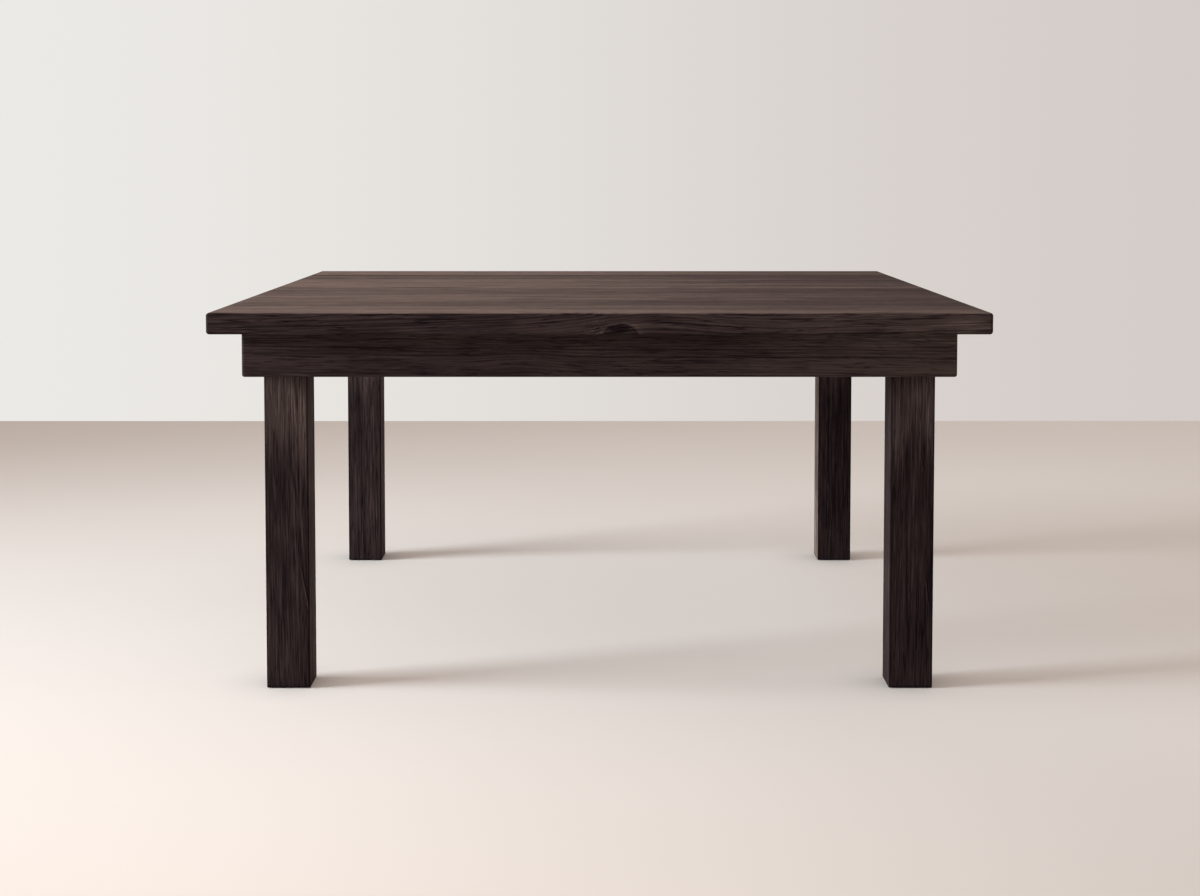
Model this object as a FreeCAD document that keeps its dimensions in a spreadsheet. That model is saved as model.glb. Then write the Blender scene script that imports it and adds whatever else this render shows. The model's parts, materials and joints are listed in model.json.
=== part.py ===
"""Square dining table: a plank top on a mitred apron frame, with four bolted legs on levelling feet.

The origin is on the floor, under the middle of the top. The front is towards -Y, and +Z is up.
All lengths are in millimetres.
"""
import FreeCAD, Part
import os
import re

import Sketcher
from FreeCAD import Placement, Rotation, Vector

# How many boards make the top
BOARD_COUNT = 8

# Shares of the sizes that they follow
BLOCK_SCREW_SHARES = (0.22, 0.78)
SCREW_POINT_SHARE = 1.6
HEAD_RIM_SHARE = 0.45
HEAD_CROWN_SHARE = 0.6
DRIVE_SPAN_SHARE = 0.55
DRIVE_WIDTH_SHARE = 0.13
DRIVE_DEPTH_SHARE = 0.6

# Two coordinates closer than this are the same point
SAME_POINT = 1e-6

# Driving dimensions
SIZES = (
    ("top_width", 1524, "top, side to side"),
    ("top_depth", 1524, "top, front to back"),
    ("table_height", 762, "floor to the top's upper face"),
    ("top_thickness", 42, "top boards"),
    ("top_edge_round", 6, "eased outer edges of the top"),
    ("board_spline_thickness", 8, "loose spline between two boards"),
    ("board_spline_width", 24, "spline, half of it in each board"),
    ("board_spline_inset", 70, "end of a spline to the end of its boards"),
    ("top_overhang", 58, "edge of the top to the apron's outer face"),
    ("apron_height", 89, "apron rails, top to bottom"),
    ("apron_thickness", 37, "apron rails"),
    ("apron_edge_round", 5, "eased outer edges of the apron"),
    ("mitre_spline_thickness", 6, "spline across an apron mitre"),
    ("mitre_spline_width", 24, "mitre spline, half of it in each rail"),
    ("mitre_spline_height", 56, "mitre spline"),
    ("kerf_drop", 11, "underside of the top to the clip kerf"),
    ("kerf_width", 3, "clip kerf, top to bottom"),
    ("kerf_depth", 10, "clip kerf into the apron"),
    ("leg_width", 87, "side of the square legs"),
    ("leg_edge_round", 2.5, "eased long edges of the legs"),
    ("foot_edge_round", 1, "eased foot edges of the legs"),
    ("foot_gap", 1.5, "floor to the foot of the legs"),
    ("leg_flat_width", 34, "flat on a leg's inner edge, where its bolts enter"),
    ("leg_flat_height", 80, "flat, down from the top of the leg"),
    ("hanger_dia", 8, "hanger bolts"),
    ("hanger_in_leg", 50, "hanger bolt, wood thread"),
    ("hanger_point", 6, "hanger bolt, tapered point"),
    ("hanger_chamfer", 1, "hanger bolt, machine end"),
    ("hanger_tail", 5, "hanger bolt past its nut"),
    ("hanger_upper_drop", 28, "underside of the top to the upper bolt"),
    ("hanger_lower_drop", 62, "underside of the top to the lower bolt"),
    ("washer_dia", 22, "hanger washers"),
    ("washer_thickness", 2, "hanger washers"),
    ("nut_flats", 13, "hanger nuts, across the flats"),
    ("nut_thickness", 6.5, "hanger nuts"),
    ("block_gap", 6, "leg flat to its corner block"),
    ("block_thickness", 30, "corner block, along the bolts"),
    ("block_height", 65, "corner block"),
    ("block_drop", 12, "underside of the top to the corner block"),
    ("block_tip", 12, "blunt ends of a corner block"),
    ("block_screw_seat", 14, "wood under the head of a corner block screw"),
    ("block_screw_dia", 4.5, "corner block screws, shank"),
    ("block_screw_length", 36, "corner block screws, under the head"),
    ("block_screw_head_dia", 9, "corner block screws, head"),
    ("block_screw_head_height", 3, "corner block screws, head"),
    ("rail_spacing", 470, "middle to middle of the cross rails"),
    ("rail_width", 32, "cross rails, side to side"),
    ("rail_height", 70, "cross rails"),
    ("rail_edge_round", 2, "eased lower edges of the cross rails"),
    ("tenon_thickness", 14, "cross rail tenons"),
    ("tenon_height", 40, "cross rail tenons"),
    ("tenon_length", 20, "cross rail tenons into the apron"),
    ("tenon_drop", 20, "underside of the top to the tenons"),
    ("clip_width", 20, "Z clips along the kerf"),
    ("clip_thickness", 1.5, "Z clips, sheet steel"),
    ("clip_tongue", 8, "Z clip into its kerf"),
    ("clip_reach", 24, "Z clip under the top"),
    ("clip_standoff", 0.3, "Z clip's riser to the wood beside it"),
    ("clip_screw_reach", 13, "wood beside a clip to its screw"),
    ("clip_screw_dia", 4, "clip screws, shank"),
    ("clip_screw_length", 24, "clip screws, under the head"),
    ("clip_screw_head_dia", 8, "clip screws, head"),
    ("clip_screw_head_height", 2.6, "clip screws, head"),
    ("pad_dia", 40, "levelling pads"),
    ("pad_thickness", 8, "levelling pads"),
    ("pad_chamfer", 1.5, "lower rim of a pad"),
    ("pad_floor", 2.5, "pad under the stem's head"),
    ("stem_dia", 8, "levelling stem, thread"),
    ("stem_neck_dia", 6.6, "levelling stem where it leaves the pad"),
    ("stem_head_dia", 12, "levelling stem, head held in the pad"),
    ("stem_head_thickness", 2.5, "levelling stem, head"),
    ("stem_chamfer", 1, "levelling stem, upper end"),
    ("stem_tail", 2, "stem past its insert when let right down"),
    ("leveller_travel", 12, "how far a foot can be let down"),
    ("insert_dia", 12, "threaded insert, barrel"),
    ("insert_length", 25, "threaded insert, barrel"),
    ("insert_flange_dia", 20, "threaded insert, flange"),
    ("insert_flange_thickness", 1.5, "threaded insert, flange"),
    ("slip_clearance", 0.1, "glued joints and pilot holes, each side"),
    ("running_clearance", 0.05, "threads, each side"),
    ("loose_clearance", 0.5, "clearance holes, each side"),
    ("seat_clearance", 0.3, "pad to its insert, and stem head to its pocket"),
    ("pad_clearance", 2, "rim of a pad to its recess in the leg"),
    ("glue_gap", 0.5, "bottom of a groove or a pilot hole"),
    ("cut_overrun", 5, "cuts past the surface that they open"),
)

# Lengths worked out from the driving dimensions
DERIVED = {
    "board_width": f"top_depth / {BOARD_COUNT}",
    "underside": "table_height - top_thickness",
    "outer_x": "top_width / 2 - top_overhang",
    "outer_y": "top_depth / 2 - top_overhang",
    "inner_x": "outer_x - apron_thickness",
    "inner_y": "outer_y - apron_thickness",
    "spline_length": "top_width - 2 * board_spline_inset",
    # Plan sums x + y from an inner corner of the apron, square to the diagonal that the bolts follow
    "flat_sum": "2 * leg_width - leg_flat_width * sqrt(0.5)",
    "block_front_sum": "flat_sum + block_gap * sqrt(2)",
    "block_back_sum": "block_front_sum + block_thickness * sqrt(2)",
    "block_foot": "block_back_sum - block_tip",
    "block_screw_place": "(block_front_sum + block_foot) / 2",
    "block_base": "underside - block_drop - block_height",
    "hanger_grip": "block_gap + block_thickness + washer_thickness + nut_thickness",
    "nut_corner": "nut_flats / sqrt(3)",
    "rail_face": "(rail_spacing - rail_width) / 2",
    "clip_bay": "((rail_spacing + rail_width) / 2 + inner_x - block_back_sum) / 2",
    "clip_bottom": "kerf_drop + clip_thickness",
    "head_pocket": "stem_head_thickness + 2 * seat_clearance",
    "flange_base": "pad_thickness + seat_clearance",
    "recess_top": "flange_base + insert_flange_thickness",
    "insert_top": "recess_top + insert_length",
    "stem_top": "insert_top + leveller_travel + stem_tail",
}

DOWN = Rotation(Vector(1, 0, 0), 180)
doc = FreeCAD.newDocument("dining_table")
sheet = doc.addObject("Spreadsheet::Sheet", "sizes")
for row, (alias, value, meaning) in enumerate(SIZES, start=1):
    sheet.set(f"A{row}", alias)
    sheet.set(f"B{row}", str(value))
    sheet.set(f"C{row}", meaning)
    sheet.setAlias(f"B{row}", alias)
doc.recompute()
ALIASES = {alias for alias, value, meaning in SIZES}
sub_parts = []


def formula(text):
    """An expression on the sheet's cells, from one written with the names of sizes."""
    def spelled(word):
        name = word.group()
        if name in DERIVED:
            return f"({formula(DERIVED[name])})"
        return f"sizes.{name}" if name in ALIASES else name
    return re.sub(r"[a-z][a-z_]*", spelled, text)


def bind(item, **lengths):
    for name, text in lengths.items():
        item.setExpression(name, formula(text))


def stand(item, x, y, z, turn=Rotation()):
    """Turns an item about its own origin, and binds where that origin stands."""
    item.Placement = Placement(Vector(), turn)
    for axis, text in zip("xyz", (x, y, z)):
        item.setExpression(f"Placement.Base.{axis}", formula(text))


def towards(x, y):
    """The rotation that lays a Z axis along a direction of the plan."""
    return Rotation(Vector(0, 0, 1), Vector(x, y, 0))


class Place:
    """A corner or side of the frame: a point of the plan and a quarter turn, with inward as its Y."""

    def __init__(self, name, x, y, quarter):
        self.name = name
        self.x = x
        self.y = y
        self.quarter = quarter

    @property
    def turn(self):
        return Rotation(Vector(0, 0, 1), 90 * self.quarter)

    def at(self, along, inward):
        """Plan formulas of a point given along this place and inward from it."""
        x_steps = (f"+ ({along})", f"- ({inward})", f"- ({along})", f"+ ({inward})")
        y_steps = (f"+ ({inward})", f"+ ({along})", f"- ({inward})", f"- ({along})")
        return f"{self.x} {x_steps[self.quarter]}", f"{self.y} {y_steps[self.quarter]}"


CORNERS = (
    Place("front_left", "-inner_x", "-inner_y", 0),
    Place("front_right", "inner_x", "-inner_y", 1),
    Place("back_right", "inner_x", "inner_y", 2),
    Place("back_left", "-inner_x", "inner_y", 3),
)
FRONT = Place("front", "0", "-inner_y", 0)
RIGHT = Place("right", "inner_x", "0", 1)
BACK = Place("back", "0", "inner_y", 2)
LEFT = Place("left", "-inner_x", "0", 3)
RAIL_LEFT = Place("left", "-rail_face", "0", 3)
RAIL_RIGHT = Place("right", "rail_face", "0", 1)


def clip_places():
    """Each clip: the wood it hooks into, how far along it is, and the board that it holds."""
    for place, board in ((FRONT, 0), (BACK, BOARD_COUNT - 1)):
        for along in ("-clip_bay", "0", "clip_bay"):
            yield place, along, board
    sides = range(2, BOARD_COUNT - 2)
    rails = (1, BOARD_COUNT - 2)
    for place, boards in ((RIGHT, sides), (LEFT, sides), (RAIL_RIGHT, rails), (RAIL_LEFT, rails)):
        for board in boards:
            middle = f"{board + 0.5 - BOARD_COUNT / 2} * board_width"
            yield place, middle if place.quarter == 1 else f"-({middle})", board


def new_body(label, kept=True):
    body = doc.addObject("PartDesign::Body", label)
    body.Label = label
    if kept:
        sub_parts.append(body)
    return body


def box(body, name, corner, size, cut=False, yaw=0):
    kind = "PartDesign::SubtractiveBox" if cut else "PartDesign::AdditiveBox"
    item = body.newObject(kind, name)
    bind(item, Length=size[0], Width=size[1], Height=size[2])
    stand(item, *corner, Rotation(Vector(0, 0, 1), yaw))
    return item


def hole(body, name, start, radius, depth, turn=Rotation()):
    item = body.newObject("PartDesign::SubtractiveCylinder", name)
    bind(item, Radius=radius, Height=depth)
    stand(item, *start, turn)
    return item


def outline(body, name, role, points):
    """A closed sketch of straight sides on one of the body's own planes, every point bound."""
    sketch = body.newObject("Sketcher::SketchObject", name)
    plane = next(item for item in body.Origin.OriginFeatures if item.Role == role)
    sketch.AttachmentSupport = [(plane, "")]
    sketch.MapMode = "FlatFace"
    spots = [Vector(*(float(sheet.evalExpression(formula(text))) for text in point), 0) for point in points]
    for spot, following in zip(spots, spots[1:] + spots[:1]):
        sketch.addGeometry(Part.LineSegment(spot, following), False)
    for side, (point, spot) in enumerate(zip(points, spots)):
        sketch.addConstraint(Sketcher.Constraint("Coincident", side, 2, (side + 1) % len(points), 1))
        for axis, text, value in zip("XY", point, spot):
            index = sketch.addConstraint(Sketcher.Constraint(f"Distance{axis}", -1, 1, side, 1, value))
            sketch.renameConstraint(index, f"{axis}{side}")
            sketch.setExpression(f"Constraints.{axis}{side}", formula(text))
    return sketch


def pad(body, name, sketch, length, both_ways=False):
    item = body.newObject("PartDesign::Pad", name)
    item.Profile = sketch
    item.Midplane = both_ways
    bind(item, Length=length)
    return item


def pocket(body, name, sketch, depth):
    item = body.newObject("PartDesign::Pocket", name)
    item.Profile = sketch
    bind(item, Length=depth)
    return item


def turned(body, name, points, kind="PartDesign::Revolution"):
    """A full turn about Z of a half section, given as radius and height."""
    sketch = outline(body, f"{name}_section", "XZ_Plane", points)
    item = body.newObject(kind, name)
    item.Profile = sketch
    item.ReferenceAxis = (sketch, ["V_Axis"])
    item.Angle = 360
    return item


def ease(body, name, radius, wanted):
    """Rounds the edges of the body so far whose bounding box is wanted."""
    doc.recompute()
    base = body.Tip
    names = [f"Edge{n}" for n, edge in enumerate(base.Shape.Edges, start=1) if wanted(edge.BoundBox)]
    item = body.newObject("PartDesign::Fillet", name)
    item.Base = (base, names)
    bind(item, Radius=radius)
    return item


def group(label, master, places):
    """One node of separate solids: a copy of the master at each (x, y, z, turn)."""
    copies = []
    for number, (x, y, z, turn) in enumerate(places, start=1):
        copy = doc.addObject("App::Link", f"{label}_{number}")
        copy.LinkedObject = master
        stand(copy, x, y, z, turn)
        copies.append(copy)
    item = doc.addObject("Part::Compound", label)
    item.Label = label
    item.Links = copies
    sub_parts.append(item)


def make_board(number):
    """One board of the top, grooved where it meets its neighbours and bored for its clip screws."""
    body = new_body(f"top_board_{number + 1}")
    box(body, "blank", ("-top_width / 2", "0", "0"), ("top_width", "board_width", "top_thickness"))
    width = float(sheet.evalExpression(formula("board_width")))

    def outer(edge):
        at_front = number == 0 and edge.YMax < SAME_POINT
        at_back = number == BOARD_COUNT - 1 and edge.YMin > width - SAME_POINT
        return edge.YLength > SAME_POINT or at_front or at_back

    ease(body, "eased_edges", "top_edge_round", outer)
    groove_depth = "board_spline_width / 2 + glue_gap"
    joints = []
    if number > 0:
        joints.append(("front_groove", "-cut_overrun"))
    if number < BOARD_COUNT - 1:
        joints.append(("back_groove", f"board_width - ({groove_depth})"))
    for name, front in joints:
        corner = (
            "-spline_length / 2 - glue_gap",
            front,
            "(top_thickness - board_spline_thickness) / 2 - slip_clearance",
        )
        size = (
            "spline_length + 2 * glue_gap",
            f"{groove_depth} + cut_overrun",
            "board_spline_thickness + 2 * slip_clearance",
        )
        box(body, name, corner, size, cut=True)
    board_front = f"-top_depth / 2 + {number} * board_width"
    for place, along, held in clip_places():
        if held == number:
            x, y = place.at(along, "clip_screw_reach")
            start = (x, f"{y} - ({board_front})", "-cut_overrun")
            depth = "cut_overrun + clip_screw_length - clip_thickness + glue_gap"
            hole(body, "clip_pilot", start, "clip_screw_dia / 2 + slip_clearance", depth)
    stand(body, "0", board_front, "underside")


def make_board_spline(number):
    """The loose spline behind a board of the top."""
    body = new_body(f"board_spline_{number + 1}")
    size = ("spline_length", "board_spline_width", "board_spline_thickness")
    box(body, "strip", tuple(f"-{side} / 2" for side in size), size)
    stand(body, "0", f"-top_depth / 2 + {number + 1} * board_width", "underside + top_thickness / 2")


def make_apron(place, outer_half, rail_places):
    """An apron rail from mitre to mitre, drawn from the middle of its inner face's top edge."""
    body = new_body(f"apron_{place.name}")
    inner_half = f"({outer_half} - apron_thickness)"
    corner = (f"-{outer_half}", "-apron_thickness", "-apron_height")
    blank = box(body, "blank", corner, (f"2 * {outer_half}", "apron_thickness", "apron_height"))
    doc.recompute()
    bounds = blank.Shape.BoundBox

    def outer(edge):
        upright = edge.ZLength > SAME_POINT and edge.YMax < bounds.YMin + SAME_POINT
        below = edge.ZMax < bounds.ZMin + SAME_POINT and edge.YMin < bounds.YMax - SAME_POINT
        return upright or below

    ease(body, "eased_edges", "apron_edge_round", outer)
    for end, sign in (("left", "-"), ("right", "")):
        points = (
            (f"{sign}({inner_half} - cut_overrun)", "cut_overrun"),
            (f"{sign}({outer_half} + cut_overrun)", "-apron_thickness - cut_overrun"),
            (f"{sign}({outer_half} + cut_overrun)", "cut_overrun"),
        )
        mitre = outline(body, f"{end}_mitre", "XY_Plane", points)
        pocket(body, f"{end}_mitre_cut", mitre, "apron_height + cut_overrun")
        make_mitre_slot(body, end, f"{sign}({inner_half} + apron_thickness / 2)")
        for share in BLOCK_SCREW_SHARES:
            start = (
                f"{sign}({inner_half} - block_screw_place)",
                "cut_overrun",
                f"-block_drop - {share} * block_height",
            )
            depth = "cut_overrun + block_screw_length - block_screw_seat + glue_gap"
            hole(body, "block_pilot", start, "block_screw_dia / 2 + slip_clearance", depth, towards(0, -1))
    kerf_corner = (f"-{outer_half} - cut_overrun", "-kerf_depth", "-kerf_drop - kerf_width")
    kerf_size = (f"2 * ({outer_half} + cut_overrun)", "kerf_depth + cut_overrun", "kerf_width")
    box(body, "clip_kerf", kerf_corner, kerf_size, cut=True)
    for middle in rail_places:
        corner = (
            f"{middle} - tenon_thickness / 2 - slip_clearance",
            "-tenon_length - glue_gap",
            "-tenon_drop - tenon_height - slip_clearance",
        )
        size = (
            "tenon_thickness + 2 * slip_clearance",
            "tenon_length + glue_gap + cut_overrun",
            "tenon_height + 2 * slip_clearance",
        )
        box(body, "rail_mortise", corner, size, cut=True)
    stand(body, place.x, place.y, "underside", place.turn)


def make_mitre_slot(body, end, middle):
    """The slot for a mitre spline, square to the mitre and centred on its middle line."""
    slant = 1 if end == "right" else -1
    half_width = "(mitre_spline_width / 2 + glue_gap)"
    half_thickness = "(mitre_spline_thickness / 2 + slip_clearance)"
    corner = (
        f"{middle} - ({half_width} - {slant} * {half_thickness}) * sqrt(0.5)",
        f"-apron_thickness / 2 - ({slant} * {half_width} + {half_thickness}) * sqrt(0.5)",
        "-(apron_height + mitre_spline_height) / 2 - glue_gap",
    )
    size = (f"2 * {half_width}", f"2 * {half_thickness}", "mitre_spline_height + 2 * glue_gap")
    box(body, f"{end}_spline_slot", corner, size, cut=True, yaw=45 * slant)


def make_mitre_spline(place):
    """The spline that crosses one mitre of the apron frame."""
    body = new_body(f"mitre_spline_{place.name}")
    size = ("mitre_spline_thickness", "mitre_spline_width", "mitre_spline_height")
    box(body, "strip", tuple(f"-{side} / 2" for side in size), size)
    x, y = place.at("-apron_thickness / 2", "-apron_thickness / 2")
    stand(body, x, y, "underside - apron_height / 2", Rotation(Vector(0, 0, 1), 90 * place.quarter + 45))


def make_corner_block(place):
    """The block across a corner of the apron frame, which the leg's bolts pull against."""
    body = new_body(f"corner_block_{place.name}")
    points = (
        ("block_front_sum", "0"),
        ("block_foot", "0"),
        ("block_foot", "block_tip"),
        ("block_tip", "block_foot"),
        ("0", "block_foot"),
        ("0", "block_front_sum"),
    )
    pad(body, "block", outline(body, "plan", "XY_Plane", points), "block_height")
    for drop in ("hanger_upper_drop", "hanger_lower_drop"):
        start = ("flat_sum / 2", "flat_sum / 2", f"underside - {drop} - block_base")
        depth = "block_gap + block_thickness + cut_overrun"
        hole(body, "bolt_hole", start, "hanger_dia / 2 + loose_clearance", depth, towards(1, 1))
    for share in BLOCK_SCREW_SHARES:
        height = f"(1 - {share}) * block_height"
        for name, depth, radius, length in (
            ("screw_hole", "-cut_overrun", "block_screw_dia / 2", "block_screw_seat + 2 * cut_overrun"),
            ("screw_recess", "block_screw_seat", "block_screw_head_dia / 2", "block_back_sum"),
        ):
            wide = f"{radius} + loose_clearance"
            hole(body, name, ("block_screw_place", depth, height), wide, length, towards(0, 1))
            hole(body, name, (depth, "block_screw_place", height), wide, length, towards(1, 0))
    stand(body, place.x, place.y, "block_base", place.turn)


def make_screw(kind):
    """A pan head wood screw along -Z, with the underside of its head at the origin."""
    body = new_body(kind, kept=False)
    head = f"{kind}_head_dia / 2"
    height = f"{kind}_head_height"
    points = (
        ("0", f"-{kind}_length"),
        (f"{kind}_dia / 2", f"-{kind}_length + {SCREW_POINT_SHARE} * {kind}_dia"),
        (f"{kind}_dia / 2", "0"),
        (head, "0"),
        (head, f"{HEAD_RIM_SHARE} * {height}"),
        (f"{HEAD_CROWN_SHARE} * {head}", height),
        ("0", height),
    )
    turned(body, "screw", points)
    span = f"{DRIVE_SPAN_SHARE} * {kind}_head_dia"
    slot = f"{DRIVE_WIDTH_SHARE} * {kind}_head_dia"
    depth = f"{DRIVE_DEPTH_SHARE} * {height}"
    for length, width in ((span, slot), (slot, span)):
        corner = (f"-{length} / 2", f"-{width} / 2", f"{height} - {depth}")
        box(body, "cross_recess", corner, (length, width, f"{depth} + cut_overrun"), cut=True)
    return body


def make_block_screws():
    """Two screws in each foot of every corner block."""
    places = []
    for place in CORNERS:
        for share in BLOCK_SCREW_SHARES:
            height = f"block_base + (1 - {share}) * block_height"
            for spot, turn in (
                (("block_screw_place", "block_screw_seat"), towards(0, 1)),
                (("block_screw_seat", "block_screw_place"), towards(1, 0)),
            ):
                places.append((*place.at(*spot), height, place.turn * turn))
    group("corner_block_screws", make_screw("block_screw"), places)


def make_leg(place):
    """A square leg with a flat for its bolts, and a recess and bore for its levelling foot."""
    body = new_body(f"leg_{place.name}")
    blank = box(body, "blank", ("0", "0", "foot_gap"), ("leg_width", "leg_width", "underside - foot_gap"))
    doc.recompute()
    bounds = blank.Shape.BoundBox

    def upright(edge):
        return edge.ZLength > SAME_POINT

    def at_foot(edge):
        return edge.ZMax < bounds.ZMin + SAME_POINT

    ease(body, "eased_edges", "leg_edge_round", upright)
    ease(body, "eased_foot", "foot_edge_round", at_foot)
    near = "flat_sum - leg_width - cut_overrun"
    far = "leg_width + cut_overrun"
    flat = outline(body, "flat_plan", "XY_Plane", ((near, far), (far, near), (far, far)))
    flat.setExpression("AttachmentOffset.Base.z", formula("underside"))
    pocket(body, "bolt_flat", flat, "leg_flat_height")
    for drop in ("hanger_upper_drop", "hanger_lower_drop"):
        reach = "flat_sum / 2 + cut_overrun * sqrt(0.5)"
        start = (reach, reach, f"underside - {drop}")
        depth = "cut_overrun + hanger_in_leg + glue_gap"
        hole(body, "bolt_hole", start, "hanger_dia / 2 + slip_clearance", depth, towards(-1, -1))
    mouth = ("leg_width / 2", "leg_width / 2", "foot_gap - cut_overrun")
    for name, radius, top in (
        ("pad_recess", "pad_dia / 2 + pad_clearance", "recess_top"),
        ("insert_hole", "insert_dia / 2 + slip_clearance", "insert_top"),
        ("stem_bore", "stem_dia / 2 + loose_clearance", "stem_top + stem_tail"),
    ):
        hole(body, name, mouth, radius, f"{top} - foot_gap + cut_overrun")
    stand(body, place.x, place.y, "0", place.turn)


def bolt_places(reach):
    """Two places on each corner's diagonal, a given way past the leg's flat."""
    for place in CORNERS:
        step = f"flat_sum / 2 + ({reach}) * sqrt(0.5)"
        for drop in ("hanger_upper_drop", "hanger_lower_drop"):
            yield *place.at(step, step), f"underside - {drop}", place.turn * towards(1, 1)


def make_hanger_hardware():
    """The bolts that stand out of the legs, and the washers and nuts behind the corner blocks."""
    bolt = new_body("hanger_bolt", kept=False)
    radius = "hanger_dia / 2"
    end = "hanger_grip + hanger_tail"
    bolt_points = (
        ("0", "-hanger_in_leg"),
        (radius, "-hanger_in_leg + hanger_point"),
        (radius, f"{end} - hanger_chamfer"),
        (f"{radius} - hanger_chamfer", end),
        ("0", end),
    )
    turned(bolt, "bolt", bolt_points)
    group("hanger_bolts", bolt, bolt_places("0"))

    washer = new_body("hanger_washer", kept=False)
    hole_radius = "hanger_dia / 2 + loose_clearance"
    washer_points = (
        (hole_radius, "0"),
        ("washer_dia / 2", "0"),
        ("washer_dia / 2", "washer_thickness"),
        (hole_radius, "washer_thickness"),
    )
    turned(washer, "washer", washer_points)
    group("hanger_washers", washer, bolt_places("block_gap + block_thickness"))

    nut = new_body("hanger_nut", kept=False)
    corners = [(f"nut_corner * cos({60 * k})", f"nut_corner * sin({60 * k})") for k in range(6)]
    pad(nut, "hexagon", outline(nut, "flats", "XY_Plane", corners), "nut_thickness")
    thread = ("hanger_dia / 2 + running_clearance", "nut_thickness + 2 * cut_overrun")
    hole(nut, "thread", ("0", "0", "-cut_overrun"), *thread)
    rim = "nut_flats / 2 + cut_overrun"
    for name, face, slope in (("lower_bevel", "0", "+"), ("upper_bevel", "nut_thickness", "-")):
        bevel = (("nut_flats / 2", face), (rim, face), (rim, f"{face} {slope} cut_overrun / sqrt(3)"))
        turned(nut, name, bevel, kind="PartDesign::Groove")
    group("hanger_nuts", nut, bolt_places("block_gap + block_thickness + washer_thickness"))


def make_cross_rail(place, sign):
    """A rail under the top from front to back, tenoned into the apron and kerfed for clips."""
    body = new_body(f"cross_rail_{place.name}")
    blank = box(
        body, "blank",
        ("-rail_width / 2", "-inner_y", "-rail_height"),
        ("rail_width", "2 * inner_y", "rail_height"),
    )
    doc.recompute()
    bounds = blank.Shape.BoundBox

    def lower(edge):
        return edge.YLength > SAME_POINT and edge.ZMax < bounds.ZMin + SAME_POINT

    ease(body, "eased_edges", "rail_edge_round", lower)
    box(
        body, "tenons",
        ("-tenon_thickness / 2", "-inner_y - tenon_length", "-tenon_drop - tenon_height"),
        ("tenon_thickness", "2 * (inner_y + tenon_length)", "tenon_height"),
    )
    kerf_side = "rail_width / 2 - kerf_depth" if sign == "-" else "-rail_width / 2 - cut_overrun"
    box(
        body, "clip_kerf",
        (kerf_side, "-inner_y - cut_overrun", "-kerf_drop - kerf_width"),
        ("kerf_depth + cut_overrun", "2 * (inner_y + cut_overrun)", "kerf_width"),
        cut=True,
    )
    stand(body, f"{sign}rail_spacing / 2", "0", "underside")


def make_clips():
    """The clips that hook into the kerfs and hold the top down, and their screws."""
    clip = new_body("top_clip", kept=False)
    riser = "clip_standoff + clip_thickness"
    points = (
        ("-clip_tongue", "-clip_bottom"),
        (riser, "-clip_bottom"),
        (riser, "-clip_thickness"),
        ("clip_reach", "-clip_thickness"),
        ("clip_reach", "0"),
        ("clip_standoff", "0"),
        ("clip_standoff", "-kerf_drop"),
        ("-clip_tongue", "-kerf_drop"),
    )
    bent = pad(clip, "strip", outline(clip, "bends", "YZ_Plane", points), "clip_width", both_ways=True)
    doc.recompute()
    bend_low, bend_high = (float(sheet.evalExpression(formula(text))) for text in (riser, "clip_standoff"))
    bounds = bent.Shape.BoundBox

    def outer_bend(edge):
        along = edge.XLength > SAME_POINT
        low = abs(edge.YMin - bend_low) < SAME_POINT and edge.ZMax < bounds.ZMin + SAME_POINT
        high = abs(edge.YMin - bend_high) < SAME_POINT and edge.ZMin > bounds.ZMax - SAME_POINT
        return along and (low or high)

    ease(clip, "rounded_bends", "clip_thickness", outer_bend)
    start = ("0", "clip_screw_reach", "-clip_thickness - cut_overrun")
    radius = "clip_screw_dia / 2 + loose_clearance"
    hole(clip, "screw_hole", start, radius, "clip_thickness + 2 * cut_overrun")
    clips = []
    screws = []
    for place, along, board in clip_places():
        clips.append((*place.at(along, "0"), "underside", place.turn))
        screws.append((*place.at(along, "clip_screw_reach"), "underside - clip_thickness", DOWN))
    group("top_clips", clip, clips)
    group("top_clip_screws", make_screw("clip_screw"), screws)


def make_leveller(place):
    """A levelling foot: an insert in the leg, a stem that turns in it and a pad on the stem's head."""
    middle = place.at("leg_width / 2", "leg_width / 2")
    pocket_radius = "stem_head_dia / 2 + seat_clearance"
    neck_hole = "stem_neck_dia / 2 + seat_clearance"
    head_base = "pad_floor + seat_clearance"
    head_top = f"{head_base} + stem_head_thickness"
    bore = "stem_dia / 2 + running_clearance"
    sections = {
        "pad": (
            ("0", "0"),
            ("pad_dia / 2 - pad_chamfer", "0"),
            ("pad_dia / 2", "pad_chamfer"),
            ("pad_dia / 2", "pad_thickness"),
            (neck_hole, "pad_thickness"),
            (neck_hole, "pad_floor + head_pocket"),
            (pocket_radius, "pad_floor + head_pocket"),
            (pocket_radius, "pad_floor"),
            ("0", "pad_floor"),
        ),
        "stem": (
            ("0", head_base),
            ("stem_head_dia / 2", head_base),
            ("stem_head_dia / 2", head_top),
            ("stem_neck_dia / 2", head_top),
            ("stem_neck_dia / 2", "pad_thickness"),
            ("stem_dia / 2", "pad_thickness"),
            ("stem_dia / 2", "stem_top - stem_chamfer"),
            ("stem_dia / 2 - stem_chamfer", "stem_top"),
            ("0", "stem_top"),
        ),
        "insert": (
            (bore, "flange_base"),
            ("insert_flange_dia / 2", "flange_base"),
            ("insert_flange_dia / 2", "recess_top"),
            ("insert_dia / 2", "recess_top"),
            ("insert_dia / 2", "insert_top"),
            (bore, "insert_top"),
        ),
    }
    for piece, points in sections.items():
        body = new_body(f"leveller_{piece}_{place.name}")
        turned(body, piece, points)
        stand(body, *middle, "0", place.turn)


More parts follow.
